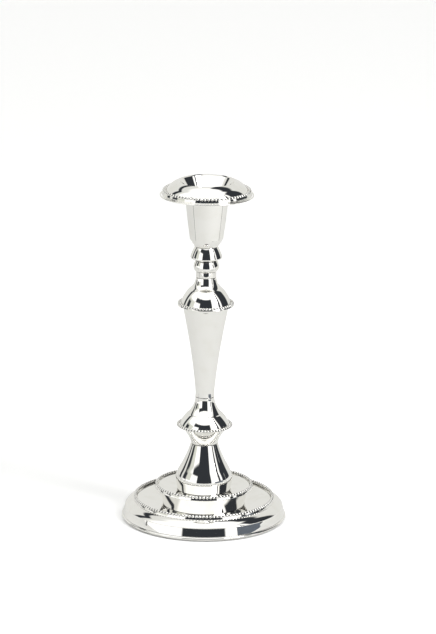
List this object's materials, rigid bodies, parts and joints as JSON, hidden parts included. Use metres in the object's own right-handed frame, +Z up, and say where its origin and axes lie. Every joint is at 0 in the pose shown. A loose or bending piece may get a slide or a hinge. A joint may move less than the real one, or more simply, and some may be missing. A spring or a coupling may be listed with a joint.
{
  "type": "candlestick",
  "caption": "Round table candlestick with a beaded, stepped foot, tapered column, tulip cup and a lift-out nozzle with drip pan.",
  "frame": {"origin": "centre of the felt's underside, on the table", "axes": "+Z up along the candlestick's axis; X and Y are equal, because the piece is round"},
  "size_m": [0.12, 0.12, 0.252],
  "materials": {
    "silver": "mirror-polished silver plate on brass",
    "steel": "bright zinc-plated steel",
    "cast_iron": "rough casting",
    "brass": "turned brass",
    "felt": "dark green felt"
  },
  "bodies": {
    "stick": {"felt_pad": "felt", "bottom_cover": "steel", "foot_wire": "silver", "foot_skirt": "silver", "lower_bead_wire": "silver", "lower_plate": "silver", "upper_tier": "silver", "tier_bead_wire": "silver", "base_bell": "silver", "base_weight": "cast_iron", "clamp_washer": "steel", "clamp_nut": "steel", "tie_rod": "steel", "lower_knop": "silver", "knop_bead_wire": "silver", "lower_shoulder": "silver", "column": "silver", "shoulder_bead_wire": "silver", "upper_shoulder": "silver", "neck_collar": "silver", "neck_ring": "silver", "cup_knop": "silver", "upper_spacer": "brass", "lower_spacer": "brass", "candle_cup": "silver", "cup_washer": "steel", "cup_nut": "steel"},
    "nozzle": {"nozzle_pan": "silver", "pan_bead_wire": "silver", "pan_rim_wire": "silver", "nozzle_socket": "silver", "nozzle_floor": "silver"}
  },
  "joints": [
    {"name": "nozzle_lift", "type": "slide", "parent": "stick", "child": "nozzle", "axis": [0, 0, 1], "range_m": [0, 0.045]}
  ]
}
